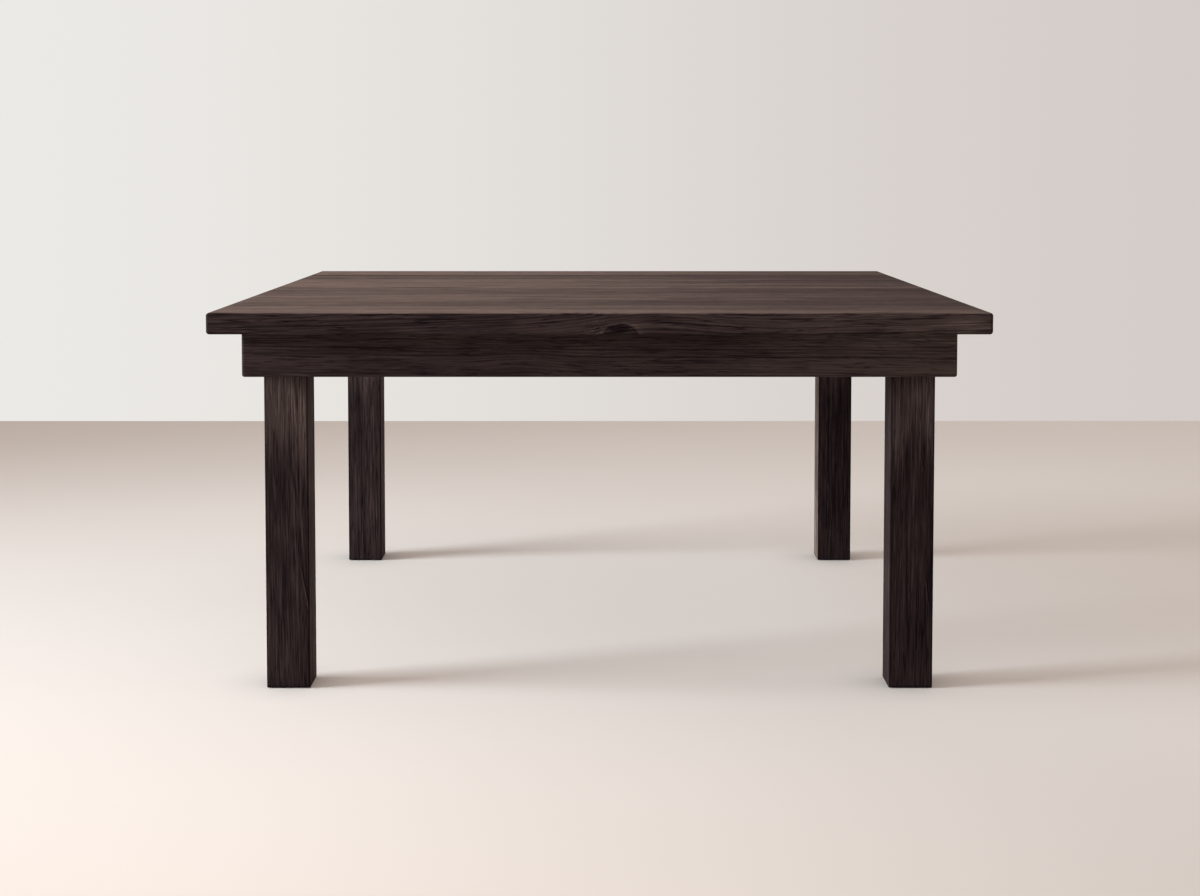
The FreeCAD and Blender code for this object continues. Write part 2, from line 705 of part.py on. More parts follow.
def check_document():
    """Stops on a failed object, a cut that removes nothing or a shape that can't be used."""
    for item in doc.Objects:
        if {"Invalid", "Error"} & set(item.State):
            raise RuntimeError(f"{item.Label}: {item.State}")
        cuts = ("Subtractive", "Pocket", "Groove")
        if any(word in item.TypeId for word in cuts) and item.Shape.Volume >= item.BaseFeature.Shape.Volume:
            raise RuntimeError(f"{item.Label} in {item.getParentGeoFeatureGroup().Label} cuts nothing")
    for item in sub_parts:
        if item.Shape.isNull() or not item.Shape.isValid():
            raise RuntimeError(f"{item.Label} has no usable shape")


for board_number in range(BOARD_COUNT):
    make_board(board_number)
for board_number in range(BOARD_COUNT - 1):
    make_board_spline(board_number)
for side in (FRONT, BACK):
    make_apron(side, "outer_x", ("-rail_spacing / 2", "rail_spacing / 2"))
for side in (RIGHT, LEFT):
    make_apron(side, "outer_y", ())
for frame_corner in CORNERS:
    make_mitre_spline(frame_corner)
    make_corner_block(frame_corner)
    make_leg(frame_corner)
    make_leveller(frame_corner)
make_block_screws()
make_hanger_hardware()
make_cross_rail(RAIL_LEFT, "-")
make_cross_rail(RAIL_RIGHT, "")
make_clips()
doc.recompute()
check_document()
os.makedirs("parts", exist_ok=True)
for sub_part in sub_parts:
    sub_part.Shape.exportStep(f"parts/{sub_part.Label}.step")
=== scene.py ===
"""Square dining table in dark stained wood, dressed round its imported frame.

The file is laid out as an add-on and runs as a script. All lengths are in metres.
"""

import json
import math
from typing import NamedTuple

import bmesh
import bpy
from bpy.props import FloatProperty, FloatVectorProperty, PointerProperty
from mathutils import Euler, Matrix, Vector


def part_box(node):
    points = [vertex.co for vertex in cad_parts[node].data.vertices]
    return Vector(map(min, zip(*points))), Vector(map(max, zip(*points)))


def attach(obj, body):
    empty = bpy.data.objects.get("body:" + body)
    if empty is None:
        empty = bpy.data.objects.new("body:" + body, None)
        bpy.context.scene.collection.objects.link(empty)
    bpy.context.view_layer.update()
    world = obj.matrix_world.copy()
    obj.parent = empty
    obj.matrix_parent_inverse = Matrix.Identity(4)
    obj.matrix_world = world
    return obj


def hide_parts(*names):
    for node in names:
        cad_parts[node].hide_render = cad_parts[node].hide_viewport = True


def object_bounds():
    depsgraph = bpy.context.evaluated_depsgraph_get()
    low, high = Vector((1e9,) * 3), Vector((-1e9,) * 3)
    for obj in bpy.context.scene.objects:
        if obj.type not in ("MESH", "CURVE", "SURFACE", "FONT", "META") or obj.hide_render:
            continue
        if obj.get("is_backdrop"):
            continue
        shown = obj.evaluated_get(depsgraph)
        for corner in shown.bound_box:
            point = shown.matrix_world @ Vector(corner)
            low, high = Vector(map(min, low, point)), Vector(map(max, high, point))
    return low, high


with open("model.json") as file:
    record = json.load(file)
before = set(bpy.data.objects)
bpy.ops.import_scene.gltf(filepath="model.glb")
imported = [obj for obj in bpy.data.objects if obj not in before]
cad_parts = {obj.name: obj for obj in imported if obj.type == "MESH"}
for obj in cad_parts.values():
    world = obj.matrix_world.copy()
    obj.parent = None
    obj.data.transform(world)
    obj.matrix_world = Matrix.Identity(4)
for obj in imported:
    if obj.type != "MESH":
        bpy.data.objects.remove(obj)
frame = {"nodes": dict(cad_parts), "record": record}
CAD_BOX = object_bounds()

bl_info = {
    "name": "Square dining table",
    "version": (1, 0, 0),
    "blender": (4, 5, 0),
    "location": "3D View > Sidebar > Dining table",
    "description": "Finishes a packed dining table in stained wood and sets a plain stage round it",
    "category": "Object",
}

BOARD_COUNT = sum(name.startswith("top_board_") for name in frame["nodes"])

# The signs of X and Y at each corner
CORNERS = {"front_left": (-1, -1), "front_right": (1, -1), "back_right": (1, 1), "back_left": (-1, 1)}

# The turn that lays a log's own X along each direction of the grain
GRAIN_TURNS = {
    "x": (0, 0, 0),
    "y": (0, 0, math.radians(90)),
    "z": (0, math.radians(-90), 0),
    "rising": (0, 0, math.radians(45)),
    "falling": (0, 0, math.radians(-45)),
}

# Cells per metre of each mark in stained wood: along the grain, and twice across it
WANDER = (0.9, 5, 5)
RIPPLE = (3, 60, 60)
BROAD = (0.5, 16, 16)
BANDS = (0.6, 9, 9)
STREAKS = (1.8, 42, 42)
PATCHES = (5, 18, 18)
BREAKS = (10, 60, 60)
VESSELS = (1.4, 56, 56)
DASHES = (4, 130, 130)
GLINTS = (9, 240, 240)
FIBRES = (11, 340, 340)
PORES = (30, 520, 520)

# Tone of a piece whose cut adds nothing to it
PLAIN_TONE = 0.53

# From a slant to square on, as the cosine between a face and a direction
FACE_ON = (0.6, 0.95)
FACE_UP = (0.6, 0.97)

# Flats in a turn of a thread, and the share of its pitch that a ridge takes at its foot
THREAD_SIDES = 20
MACHINE_RIDGE = 0.75
WOOD_RIDGE = 0.34

# Points of a turned mesh nearer than this are one, and sharper edges than this stay sharp
SAME_POINT = 1e-6
SHARP_EDGE = math.radians(28)


def srgb(*bytes_of_colour):
    """A linear colour from three display values of 0 to 255."""
    levels = (byte / 255 for byte in bytes_of_colour)
    return tuple(level / 12.92 if level <= 0.04045 else ((level + 0.055) / 1.055) ** 2.4 for level in levels)


def colour(name, description, *bytes_of_colour):
    return FloatVectorProperty(
        name=name, description=description, subtype="COLOR", min=0, max=1, default=srgb(*bytes_of_colour)
    )


def length(name, description, default):
    return FloatProperty(name=name, description=description, default=default, min=0, unit="LENGTH")


def spot(name, description, *default):
    return FloatVectorProperty(name=name, description=description, subtype="TRANSLATION", default=default)


def power(name, description, default):
    return FloatProperty(name=name, description=description, default=default, min=0, unit="POWER")


def share(name, description, default):
    return FloatProperty(name=name, description=description, default=default, min=0, max=1, subtype="FACTOR")


class StainedWood(bpy.types.PropertyGroup):
    """The dark stained wood of the top, apron and legs."""

    deep: colour("Deep stain", "Darkest grain lines", 15, 9, 11)
    dark: colour("Dark stain", "Dark grain", 29, 20, 21)
    middle: colour("Stain", "Most of the wood", 45, 34, 34)
    pale: colour("Pale grain", "Palest grain of the sides", 73, 60, 57)
    # Painted light: the colour of the top's upper face, painted paler to stand in for light from above and a
    # reflection of the bright wall
    painted_top_light: colour("Painted top light", "Palest grain of the top's upper face", 130, 113, 104)
    ring: length("Ring width", "One year's growth", 0.0062)
    sway: length("Sway", "How far the rings wander from a straight log", 0.03)
    line: share("Grain line", "How dark the lines of the grain are", 0.28)
    roughness: share("Roughness", "Roughness of the matte finish", 0.75)
    gloss: share("Gloss", "Specular level of the finish", 0.02)
    relief: share("Relief", "Depth of the open pores and fibres", 0.4)
    # The darkened long edges hold stain and painted shade
    edge_width: length("Stained edge", "Width of the edges where the stain gathers", 0.005)
    soak_width: length("Soaked end", "How far the stain soaks in at the ends of the grain", 0.009)


class Hardware(bpy.types.PropertyGroup):
    """Metal, nylon and bare wood that the table hides."""

    zinc: colour("Zinc plate", "Bolts, nuts, washers, screws, clips and stems", 200, 200, 196)
    brass: colour("Brass", "Threaded inserts", 205, 176, 112)
    nylon: colour("Nylon", "Levelling pads", 24, 24, 26)
    bare: colour("Bare wood", "Splines", 176, 140, 98)
    bolt_width: length("Bolt width", "Across the threads of bolts and stems", 0.008)
    bolt_wood: length("Wood thread", "Length of a hanger bolt in the leg", 0.05)
    bolt_collar: length("Collar", "Plain part between a hanger bolt's two threads", 0.006)
    thread_pitch: length("Pitch", "Pitch of the machine threads", 0.00125)
    thread_depth: length("Thread depth", "Depth of the machine threads", 0.00077)
    wood_pitch: length("Wood pitch", "Pitch of the wood threads", 0.0035)
    wood_depth: length("Wood thread depth", "Depth of the wood threads", 0.0012)
    stem_neck: length("Stem's neck", "Width of a levelling stem in its pad", 0.0066)
    stem_head: length("Stem's head", "Thickness of a levelling stem's head", 0.0025)


class Stage(bpy.types.PropertyGroup):
    """Camera, floor and light."""

    eye: spot("Eye", "Where the camera stands", 0.0009, -4.4155, 1.0383)
    lean: FloatProperty(
        name="Lean", description="How far the camera looks down", default=math.radians(3.327), unit="ROTATION"
    )
    lens: FloatProperty(name="Lens", description="Focal length", default=56.88, min=1, unit="CAMERA")
    shift: FloatProperty(name="Shift", description="Vertical shift, as a share of the width", default=-0.14)
    floor_back: length("Floor's back edge", "From the middle of the table", 3.385)
    floor_reach: length("Floor's reach", "To the other three edges", 9.0)
    floor: colour("Floor", "Pale floor", 242, 237, 233)
    glow: colour("Floor in shade", "Pale floor where little light falls", 232, 214, 203)
    # The background is painted paler at the left and darker at the right, as painted light on a wall lit from
    # the left
    wall_left: colour("Left background", "Background at the left", 236, 234, 230)
    wall_right: colour("Right background", "Background at the right", 212, 204, 200)
    # A painted pool of light on the floor, palest at the left front
    glow_middle: spot("Palest floor", "Where the floor is palest", -1.4, -2.4, 0)
    glow_reach: length("Pale floor's reach", "How far the palest floor takes to fade", 2.7)
    ambient: FloatProperty(name="Ambient", description="Strength of the even light", default=0.41, min=0)
    key: power("Key light", "Light from the left", 180)
    fill: power("Fill light", "Light from the right", 12)


class Wire:
    """An output of a node, whose arithmetic adds Math nodes to the same tree."""

    def __init__(self, finish, socket):
        self.finish = finish
        self.socket = socket

    def maths(self, operation, *values):
        return self.finish.add("ShaderNodeMath", {"operation": operation}, dict(enumerate(values)))

    def __add__(self, other):
        return self.maths("ADD", self, other)

    def __sub__(self, other):
        return self.maths("SUBTRACT", self, other)

    def __rsub__(self, other):
        return self.maths("SUBTRACT", other, self)

    def __mul__(self, other):
        return self.maths("MULTIPLY", self, other)

    def __truediv__(self, other):
        return self.maths("DIVIDE", self, other)

    def __pow__(self, other):
        return self.maths("POWER", self, other)

    def __abs__(self):
        return self.maths("ABSOLUTE", self)

    __radd__ = __add__
    __rmul__ = __mul__

    def exp(self):
        return self.maths("EXPONENT", self)

    def floor(self):
        return self.maths("FLOOR", self)

    def fract(self):
        return self.maths("FRACT", self)

    def least(self, other):
        return self.maths("MINIMUM", self, other)

    def most(self, other):
        return self.maths("MAXIMUM", self, other)

    def rise(self, low, high):
        """Smoothly from 0 at low to 1 at high."""
        settings = {"interpolation_type": "SMOOTHSTEP"}
        inputs = {"Value": self, "From Min": low, "From Max": high}
        return self.finish.add("ShaderNodeMapRange", settings, inputs)


class Finish:
    """A node tree in the making."""

    def __init__(self, tree):
        self.tree = tree
        tree.nodes.clear()

    def add(self, kind, settings=None, inputs=None, output=0):
        """A node with its settings and then its inputs, as a value or a wire; gives one of its outputs."""
        node = self.tree.nodes.new(kind)
        for name, value in (settings or {}).items():
            if name == "stops":
                self.set_stops(node.color_ramp.elements, value)
            else:
                setattr(node, name, value)
        for name, value in (inputs or {}).items():
            if isinstance(value, Wire):
                self.tree.links.new(value.socket, node.inputs[name])
            else:
                node.inputs[name].default_value = value
        return Wire(self, node.outputs[output]) if node.outputs else None

    @staticmethod
    def set_stops(elements, stops):
        for position, _ in stops[1:-1]:
            elements.new(position)
        for element, (position, tint) in zip(elements, stops):
            element.position = position
            element.color = (*tint, 1)

    def vector(self, operation, *values, output=0):
        return self.add("ShaderNodeVectorMath", {"operation": operation}, dict(enumerate(values)), output)

    def noise(self, vector, stretch, seed, detail=2.0, output=0):
        """Noise whose cells per metre along each axis are the stretch."""
        cells = self.vector("MULTIPLY", vector, stretch)
        inputs = {"Vector": cells, "W": seed, "Scale": 1.0, "Detail": detail}
        return self.add("ShaderNodeTexNoise", {"noise_dimensions": "4D"}, inputs, output)

    def lines(self, vector, stretch, seed, width):
        """Thin wavering lines, where noise crosses its middle level."""
        return 1 - abs(self.noise(vector, stretch, seed) - 0.5).rise(0, width)

    def ramp(self, value, stops):
        return self.add("ShaderNodeValToRGB", {"stops": stops}, {"Fac": value})

    def blend(self, factor, first, second, how="MIX"):
        """Two colours mixed; a Mix node's colour sockets have no names of their own."""
        settings = {"data_type": "RGBA", "blend_type": how}
        return self.add("ShaderNodeMix", settings, {0: factor, 6: first, 7: second}, output=2)

    def bump(self, height, strength, distance):
        return self.add("ShaderNodeBump", {}, {"Height": height, "Strength": strength, "Distance": distance})

    def seen(self):
        """1 where the camera looks, straight or by gloss or glass, and 0 for all other light."""
        straight = self.add("ShaderNodeLightPath", output="Is Camera Ray")
        gloss = self.add("ShaderNodeLightPath", output="Is Glossy Ray")
        return straight.most(gloss).most(self.add("ShaderNodeLightPath", output="Is Transmission Ray"))

    def surface(self, **inputs):
        """The shader of a material, with an input for each word, spelled as its socket."""
        sockets = {name.replace("_", " "): value for name, value in inputs.items()}
        shader = self.add("ShaderNodeBsdfPrincipled", {}, sockets)
        self.add("ShaderNodeOutputMaterial", {}, {"Surface": shader})


def new_material(name):
    material = bpy.data.materials.new(name)
    material.use_nodes = True
    return material, Finish(material.node_tree)


def dress(node_name, material):
    """Gives a node of the frame its finish."""
    materials = frame["nodes"][node_name].data.materials
    materials.clear()
    materials.append(material)


class Knot(NamedTuple):
    """A branch that meets the front face: its middle, half sizes, bulge in the grain, and darkness."""

    x: float
    z: float
    wide: float
    tall: float
    bulge: float
    dark: float


class Scar(NamedTuple):
    """A shallow scratch along the front face: its upper end, its lower end and its width."""

    upper: tuple
    lower: tuple
    width: float


class Cut(NamedTuple):
    """How a piece was sawn and stained.

    It has the direction of its grain, the heart of its log from its own middle, and the heart's lean in
    degrees. The tone is its lightness, which rises along the grain from one place to another by the third
    value of fade; on the fronts of the top and apron this rise is painted light. Sway is how far its grain
    wanders, against the other pieces. The painted top light is how much paler its upper face is painted,
    standing in for light from above and a reflection. Fibre, line and ring are how plain its fibres, the
    lines of its grain and its rings are. Inner is the sign of X that its inner face looks along, and how much
    paler that face is painted, as painted light; a piece with one fades less on its sides. The edge stain and
    shade and soaked are how dark its long edges and its ends are; the long edges hold stain and painted
    shade.
    """

    grain: str
    heart: tuple
    lean: tuple
    tone: float
    seed: float
    fade: tuple = (0, 1, 0)
    sway: float = 1
    painted_top_light: float = 0
    fibre: float = 0.35
    line: float = 0.7
    ring: float = 0.7
    inner: tuple = ()
    edge_stain_and_shade: float = 0
    soaked: float = 0
    knots: tuple = ()
    scars: tuple = ()


def parts_of(finish, vector):
    return [finish.add("ShaderNodeSeparateXYZ", {}, {"Vector": vector}, output=axis) for axis in "XYZ"]


def inward(finish, place, box):
    """How far a point is from the faces of a box, along each axis."""
    low, high = box
    outward = finish.vector("ABSOLUTE", finish.vector("SUBTRACT", place, (low + high) / 2))
    return parts_of(finish, finish.vector("SUBTRACT", (high - low) / 2, outward))


def middle_of_three(x, y, z):
    """On a face of a box, how far its nearest edge is."""
    return x.least(y).most(x.most(y).least(z))


def knot_marks(finish, place, front, knot):
    """The bulge of the grain round a knot, and what the knot adds to the tone.

    Reach is 1 on the knot's rough outline, and skin falls from 1 at the front face to 0 inside the wood.
    """
    x, y, z = parts_of(finish, place)
    rough = finish.noise(place, (60, 60, 60), knot.x) * 0.24 + 0.88
    across = (x - knot.x) / knot.wide
    up = (z - knot.z) / knot.tall
    square = (across * across + up * up) * (rough * rough)
    reach = square ** 0.5
    skin = 1 - (y - front).rise(0.02, 0.07)
    hump = (square * -0.2).exp() * skin
    if not knot.dark:
        return hump, None
    inside = 1 - reach.rise(0.86, 1.0)
    eye = ((across + 0.12) / 0.62) ** 2 + ((up - 0.6) / 0.36) ** 2
    rings = (reach * 4.5 + rough * 2.0).fract()
    rim = reach.rise(0.9, 1.02) * (1 - reach.rise(1.06, 1.3))
    halo = 1 - reach.rise(0.9, 2.7)
    beside = (1 - (across + 1.3).rise(-0.1, 0.9)) * (1 - reach.rise(1.2, 2.4)) * reach.rise(0.98, 1.1)
    flecks = finish.noise(place, (230, 230, 330), knot.z, detail=3.0).rise(0.5, 0.68) * beside
    stain = rings.rise(0.45, 0.9) * 0.08 + (1 - eye.rise(0.25, 1.3)) * 0.25 + 0.13
    return hump, (rim * 0.09 + halo * 0.06 + flecks * 0.26 - inside * stain) * skin * knot.dark


def scar_mark(finish, place, front, scar):
    """What a scratch adds to the tone: a pale line, and beside it a dark line of painted shade."""
    upper, lower = (Vector((x, 0, z)) for x, z in (scar.upper, scar.lower))
    run = (lower - upper).normalized()
    start = finish.vector("SUBTRACT", place, upper)
    along = finish.vector("DOT_PRODUCT", start, run, output=1)
    aside = finish.vector("DOT_PRODUCT", start, (-run.z, 0, run.x), output=1)
    reach = (lower - upper).length
    within = along.rise(0, reach * 0.3) * (1 - along.rise(reach * 0.8, reach))
    skin = 1 - (parts_of(finish, place)[1] - front).rise(0.003, 0.01)
    lip = 1 - abs(aside).rise(0, scar.width)
    groove_shade = 1 - abs(aside - scar.width * 1.6).rise(0, scar.width * 1.6)
    return (lip * 0.3 - groove_shade * 0.2) * within * skin


def stained_wood(name, node_name, cut):
    """Sawn, stained and matte: rings round the heart of the log, streaks, dashes, pores and soaked edges."""
    wood = bpy.context.scene.table_wood
    material, finish = new_material(name)
    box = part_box(node_name)
    place = finish.add("ShaderNodeTexCoord", output="Object")
    facing = finish.add("ShaderNodeTexCoord", output="Normal")
    grain = Euler(GRAIN_TURNS[cut.grain]).to_matrix()
    turn = grain @ Euler((0, *(math.radians(angle) for angle in cut.lean))).to_matrix()
    heart = (box[0] + box[1]) / 2 + Vector(cut.heart)
    where = {"Vector": place, "Location": heart, "Rotation": turn.to_euler()}
    log = finish.add("ShaderNodeMapping", {"vector_type": "TEXTURE"}, where)

    # The grain, which wanders along the log and bends round its knots
    wander = finish.noise(log, WANDER, cut.seed, output=1)
    sway = wood.sway * cut.sway
    bent = finish.vector("MULTIPLY_ADD", wander, (0, sway, sway), log)
    marks = []
    for knot in cut.knots:
        hump, mark = knot_marks(finish, place, box[0].y, knot)
        lift = finish.add("ShaderNodeCombineXYZ", {}, {"Z": hump * knot.bulge})
        bent = finish.vector("SUBTRACT", bent, lift)
        marks += [mark] if mark else []
    marks += [scar_mark(finish, place, box[0].y, scar) for scar in cut.scars]

    # Rings of uneven width, each with late wood as dark as its year was good
    radius = finish.vector("LENGTH", finish.vector("MULTIPLY", bent, (0, 1, 1)), output=1)
    years = radius / wood.ring
    uneven = finish.add("ShaderNodeTexNoise", {"noise_dimensions": "1D"}, {"W": years * 0.31, "Scale": 1.0})
    ripple = finish.noise(bent, RIPPLE, cut.seed + 1, detail=4.0)
    years = years + uneven * 1.6 + ripple * 0.7
    season = years.fract()
    year = years.floor() + cut.seed
    vigour = finish.add("ShaderNodeTexWhiteNoise", {"noise_dimensions": "1D"}, {"W": year})
    late = season.rise(0.35, 0.9) * (1 - season.rise(0.92, 1.0)) * (0.15 + 0.85 * vigour)

    # Marks along the grain, from the broadest to the finest
    bands = finish.noise(bent, BANDS, cut.seed + 2, detail=3.0)
    streaks = finish.noise(bent, STREAKS, cut.seed + 3, detail=5.0)
    patches = finish.noise(log, PATCHES, cut.seed + 5, detail=4.0)
    breaks = finish.noise(bent, BREAKS, cut.seed + 6)
    vessels = finish.lines(bent, VESSELS, cut.seed + 10, 0.018) * breaks.rise(0.36, 0.6)
    dashes = finish.lines(bent, DASHES, cut.seed + 11, 0.035) * (1 - breaks.rise(0.42, 0.62))
    glints = finish.noise(bent, GLINTS, cut.seed + 8).rise(0.54, 0.72)
    fibres = finish.noise(bent, FIBRES, cut.seed + 7, detail=4.0)
    pores = finish.noise(bent, PORES, cut.seed + 9, detail=1.0).rise(0.57, 0.7)

    # The tone, from 0 for the deepest stain to 1 for the palest colour, that of the painted top light
    along = parts_of(finish, log)[0]
    figure = (bands - 0.5) * 0.3 + (streaks - 0.5) * 0.28 + (patches - 0.5) * 0.3
    figure = figure + (fibres - 0.5) * cut.fibre + glints * 0.08
    figure = figure - (vessels + dashes) * (wood.line * cut.line) - late * (wood.line * cut.ring)
    # The fade is painted light on the fronts of the top and apron, paler to the right; on the legs it makes
    # the upper part paler
    fade = (along + (patches - 0.5) * 0.1).rise(*cut.fade[:2]) * cut.fade[2]
    sideways, _, upward = parts_of(finish, facing)
    tone = PLAIN_TONE + cut.tone + figure
    # Painted light: the inner face is painted paler, standing in for the light that falls on it
    if cut.inner:
        way, paler = cut.inner
        fade = fade * (1 - 0.8 * abs(sideways).rise(*FACE_ON))
        tone = tone + (sideways * way).rise(*FACE_ON) * paler
    tone = tone + fade
    # Painted light: the top's upper face is painted paler, standing in for light from above and a reflection
    # of the bright wall, and fades to the right
    if cut.painted_top_light:
        up = upward.rise(*FACE_UP)
        broad = finish.noise(bent, BROAD, cut.seed + 4)
        painted_light_on_top = cut.painted_top_light * (1 - 0.33 * along.rise(-0.4, 0.8)) + (broad - 0.5) * 0.4
        tone = tone + up * (painted_light_on_top - figure * 0.4 - fade)
    for mark in marks:
        tone = tone + mark

    # The colour, darker in pores and on end grain, and along edges with stain and painted shade
    stops = ((0, wood.deep), (0.2, wood.dark), (0.4, wood.middle), (0.68, wood.pale), (1, wood.painted_top_light))
    tint = finish.ramp(tone, [(position, tuple(stop)) for position, stop in stops])
    # Part of the painted top light: the upper face's hue is shifted
    if cut.painted_top_light:
        tint = finish.blend(up, tint, (1, 0.935, 0.94, 1), "MULTIPLY")
    tint = finish.blend(pores * 0.5, tint, (*wood.deep, 1))
    endways = finish.vector("DOT_PRODUCT", facing, grain @ Vector((1, 0, 0)), output=1)
    stain = abs(endways).rise(*FACE_ON) * 0.45
    gaps = inward(finish, place, box)
    # Darker long edges: stain gathers there, and painted shade darkens the eased edges
    if cut.edge_stain_and_shade:
        uneven_edge = finish.noise(place, (50, 50, 50), cut.seed) * 0.5 + 0.7
        edge = 1 - middle_of_three(*gaps).rise(0.3 * wood.edge_width, wood.edge_width)
        stain = stain.most(edge * uneven_edge * cut.edge_stain_and_shade)
    if cut.soaked:
        end = 1 - gaps["xyz".index(cut.grain)].rise(0, wood.soak_width)
        stain = stain.most(end * cut.soaked)
    tint = finish.blend(stain, tint, (*wood.deep, 1))

    roughness = wood.roughness + (fibres - 0.5) * 0.14 + (streaks - 0.5) * 0.14 + pores * 0.12 - glints * 0.05
    height = fibres * 0.3 - (vessels + dashes) * 0.3 - pores * 0.6 - late * 0.2
    finish.surface(
        Base_Color=tint,
        Roughness=roughness,
        Specular_IOR_Level=wood.gloss,
        Normal=finish.bump(height, wood.relief, 0.0006),
    )
    dress(node_name, material)


class TABLE_OT_finish_top(bpy.types.Operator):
    """Stains the boards of the top, each sawn from its own log"""

    bl_idname = "dining_table.finish_top"
    bl_label = "Finish the top"

    # Tone of the top, and of each board against it, from the front to the back
    TONE = -0.035
    BOARD_TONES = (0.035, -0.05, -0.015, -0.065, 0.035, 0.03, -0.075, 0.045)
    # How much paler the upper face is painted, standing in for light from above and a reflection
    PAINTED_TOP_LIGHT = 0.395
    KNOTS = (
        Knot(x=0.042, z=0.7195, wide=0.0365, tall=0.0225, bulge=0.006, dark=1.0),
        Knot(x=0.13, z=0.73, wide=0.06, tall=0.05, bulge=0.016, dark=0.0),
    )

    def execute(self, context):
        boards = [f"top_board_{number}" for number in range(1, BOARD_COUNT + 1)]
        for index, (board, tone) in enumerate(zip(boards, self.BOARD_TONES, strict=True)):
            side = 1 if index % 2 else -1
            heart = (0, -0.02 + 0.04 * side, side * (0.12 + 0.02 * (index % 3)))
            cut = Cut(
                grain="x", heart=heart, lean=(1.2 * side, 1.1 * side), tone=self.TONE + tone,
                seed=11 * index, fade=(0.0, 0.7, 0.1), painted_top_light=self.PAINTED_TOP_LIGHT, line=1.0, ring=1.0, soaked=0.6,
                knots=self.KNOTS if index == 0 else (),
            )
            stained_wood(f"stained_{board}", board, cut)
        return {"FINISHED"}


class TABLE_OT_finish_apron(bpy.types.Operator):
    """Stains the four rails of the apron"""

    bl_idname = "dining_table.finish_apron"
    bl_label = "Finish the apron"

    SWIRL = Knot(x=-0.148, z=0.655, wide=0.035, tall=0.014, bulge=0.008, dark=0.0)

    def execute(self, context):
        for index, side in enumerate(("front", "right", "back", "left")):
            grain = "y" if side in ("right", "left") else "x"
            cut = Cut(
                grain=grain, heart=(0, 0.02, 0.11), lean=(0.7, 1.0), tone=0.0, seed=101 + 13 * index,
                fade=(0.1, 0.6, 0.11), knots=(self.SWIRL,) if side == "front" else (),
            )
            stained_wood(f"stained_apron_{side}", f"apron_{side}", cut)
        return {"FINISHED"}


class TABLE_OT_finish_legs(bpy.types.Operator):
    """Stains the four legs"""

    bl_idname = "dining_table.finish_legs"
    bl_label = "Finish the legs"

    # Tone of each leg, and how much paler its inner face is painted, as painted light falling on it; the back
    # right leg's darker tone holds painted shade
    TONES = {
        "front_left": (-0.14, 0.175),
        "front_right": (-0.165, 0.04),
        "back_right": (-0.24, 0.5),
        "back_left": (-0.195, 0.225),
    }
    SCARS = {
        "front_left": (Scar((-0.6004, 0.262), (-0.5815, 0.154), 0.002),),
        "front_right": (
            Scar((0.6505, 0.228), (0.6565, 0.17), 0.0016),
            Scar((0.638, 0.478), (0.644, 0.436), 0.0014),
        ),
    }

    def execute(self, context):
        for index, (corner, (x, y)) in enumerate(CORNERS.items()):
            tone, paler = self.TONES[corner]
            cut = Cut(
                grain="z", heart=(0.06 * x, 0.09 * y, 0), lean=(0.6 * x, 0.5 * y), tone=tone,
                seed=211 + 17 * index, fade=(0.06, 0.18, 0.25), sway=0.5, fibre=0.85, line=0.8, ring=0.4,
                inner=(-x, paler), edge_stain_and_shade=0.75, soaked=0.4, scars=self.SCARS.get(corner, ()),
            )
            stained_wood(f"stained_leg_{corner}", f"leg_{corner}", cut)
        return {"FINISHED"}


class TABLE_OT_finish_inner_wood(bpy.types.Operator):
    """Stains the corner blocks and cross rails that stand behind the apron"""

    bl_idname = "dining_table.finish_inner_wood"
    bl_label = "Finish the inner wood"

    TONE = 0.08

    def execute(self, context):
        for index, (corner, (x, y)) in enumerate(CORNERS.items()):
            grain = "falling" if x == y else "rising"
            cut = Cut(
                grain=grain, heart=(0.03 * x, 0.03 * y, 0.04), lean=(1, 2), tone=self.TONE,
                seed=307 + 7 * index,
            )
            stained_wood(f"stained_corner_block_{corner}", f"corner_block_{corner}", cut)
        for index, side in enumerate(("left", "right")):
            cut = Cut(grain="y", heart=(0.02, 0, 0.05), lean=(1, 1), tone=self.TONE, seed=401 + 7 * index)
            stained_wood(f"stained_cross_rail_{side}", f"cross_rail_{side}", cut)
        return {"FINISHED"}


def bare_wood():
    """Planed hardwood without stain."""
    material, finish = new_material("bare_wood")
    place = finish.add("ShaderNodeTexCoord", output="Object")
    streaks = finish.noise(place, (4, 160, 160), 1.0, detail=4.0)
    pores = finish.noise(place, (40, 900, 900), 2.0, detail=1.0).rise(0.6, 0.74)
    bare = Vector(bpy.context.scene.table_hardware.bare)
    tint = finish.ramp(streaks, [(0.25, tuple(bare * 0.66)), (0.75, tuple(bare))])
    tint = finish.blend(pores * 0.4, tint, (*(bare * 0.35), 1))
    normal = finish.bump(streaks - pores, 0.25, 0.0004)
    finish.surface(Base_Color=tint, Roughness=0.58 + streaks * 0.14, Specular_IOR_Level=0.35, Normal=normal)
    return material


def plated_metal(name, tint, roughness):
    """Plated or turned metal with a cloudy skin and fine tool marks."""
    material, finish = new_material(name)
    place = finish.add("ShaderNodeTexCoord", output="Object")
    clouds = finish.noise(place, (130, 130, 130), 4.0, detail=4.0)
    marks = finish.noise(place, (500, 500, 4000), 5.0)
    tint = Vector(tint)
    skin = finish.ramp(clouds, [(0.3, tuple(tint * 0.72)), (0.7, tuple(tint))])
    normal = finish.bump(marks + clouds * 0.5, 0.2, 0.0001)
    rough = roughness + (clouds - 0.5) * 0.3
    finish.surface(Base_Color=skin, Metallic=1.0, Roughness=rough, Normal=normal)
    return material


